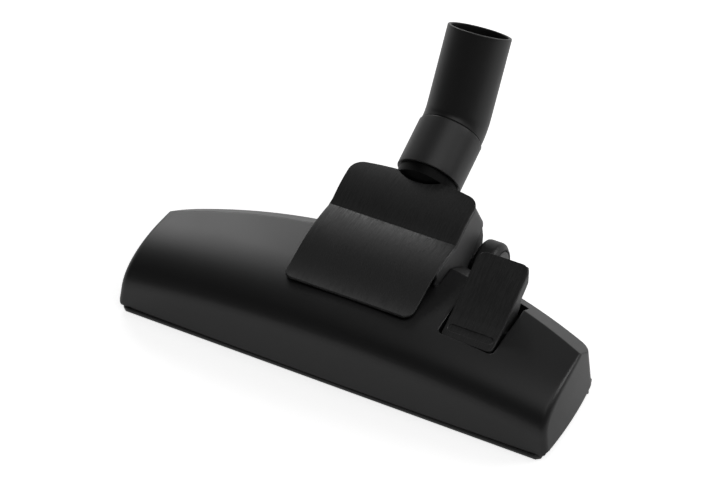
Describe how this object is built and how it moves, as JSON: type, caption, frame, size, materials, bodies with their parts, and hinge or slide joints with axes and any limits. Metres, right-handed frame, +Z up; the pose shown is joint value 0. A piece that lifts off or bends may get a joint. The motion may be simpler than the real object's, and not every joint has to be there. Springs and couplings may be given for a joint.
{
  "type": "vacuum floor nozzle",
  "caption": "Low floor head with a slotted sole, rear wheels, a foot pedal that lowers brush strips, and a tilting neck with a swivel elbow for the wand.",
  "frame": {"origin": "middle of the head's front edge, on the floor", "axes": "+X across the head to the pedal's side, +Y to the rear, +Z up"},
  "size_m": [0.276, 0.213, 0.1328],
  "materials": {
    "shell": "fine satin black moulding",
    "chassis": "satin black moulding",
    "sole": "smooth black moulding",
    "bristles": "black nylon bristles",
    "lint_strip": "dark red velvet",
    "steel": "plain steel",
    "housing": "satin dark moulding",
    "brushed_cover": "black with a brushed grain from front to back",
    "seal": "soft black rubber",
    "neck": "satin black moulding",
    "bush": "natural acetal",
    "collar": "satin black moulding",
    "tube": "smooth satin black moulding",
    "wheel": "black moulding",
    "hub_cap": "dark grey moulding",
    "pedal": "satin black moulding",
    "screw": "zinc-plated steel"
  },
  "bodies": {
    "head": {"top_shell": "shell", "chassis": "chassis", "sole_plate": "sole", "front_lint_strip": "lint_strip", "rear_lint_strip": "lint_strip", "left_lift_spring": "steel", "right_lift_spring": "steel", "joint_housing": "housing", "joint_cover": "brushed_cover", "duct_seal": "seal", "left_bush": "bush", "right_bush": "bush", "left_axle": "steel", "right_axle": "steel", "pedal_pin": "steel", "detent_spring": "steel", "shell_screws": "screw", "cover_screws": "screw", "housing_screws": "screw"},
    "neck": {"tilt_neck": "neck", "snap_ring": "bush"},
    "swivel": {"collar": "collar", "elbow_tube": "tube", "neck_seal": "seal"},
    "pedal": {"pedal": "pedal", "pedal_plate": "brushed_cover"},
    "brush": {"brush_carrier": "chassis", "front_bristles": "bristles", "rear_bristles": "bristles"},
    "left_wheel": {"left_wheel": "wheel", "left_hub_cap": "hub_cap"},
    "right_wheel": {"right_wheel": "wheel", "right_hub_cap": "hub_cap"}
  },
  "joints": [
    {"name": "neck_tilt", "type": "hinge", "parent": "head", "child": "neck", "pos_m": [0, 0.098, 0.036], "axis": [1, 0, 0], "range_deg": [-40, 0]},
    {"name": "elbow_swivel", "type": "hinge", "parent": "neck", "child": "swivel", "pos_m": [0, 0.12957, 0.05789], "axis": [0, 0.9041, 0.4274], "continuous": true},
    {"name": "pedal_tilt", "type": "hinge", "parent": "head", "child": "pedal", "pos_m": [0.0747, 0.05, 0.036], "axis": [-1, 0, 0], "range_deg": [0, 14]},
    {"name": "brush_drop", "type": "slide", "parent": "head", "child": "brush", "axis": [0, 0, -1], "range_m": [0, 0.0055], "deforming": ["left_lift_spring", "right_lift_spring"]},
    {"name": "left_wheel_spin", "type": "hinge", "parent": "head", "child": "left_wheel", "pos_m": [-0.0485, 0.1135, 0.018], "axis": [1, 0, 0], "continuous": true},
    {"name": "right_wheel_spin", "type": "hinge", "parent": "head", "child": "right_wheel", "pos_m": [0.0485, 0.1135, 0.018], "axis": [1, 0, 0], "continuous": true}
  ],
  "couplings": [
    {"joint": "pedal_tilt", "follows": "brush_drop", "rad_per_m": 44.4}
  ]
}
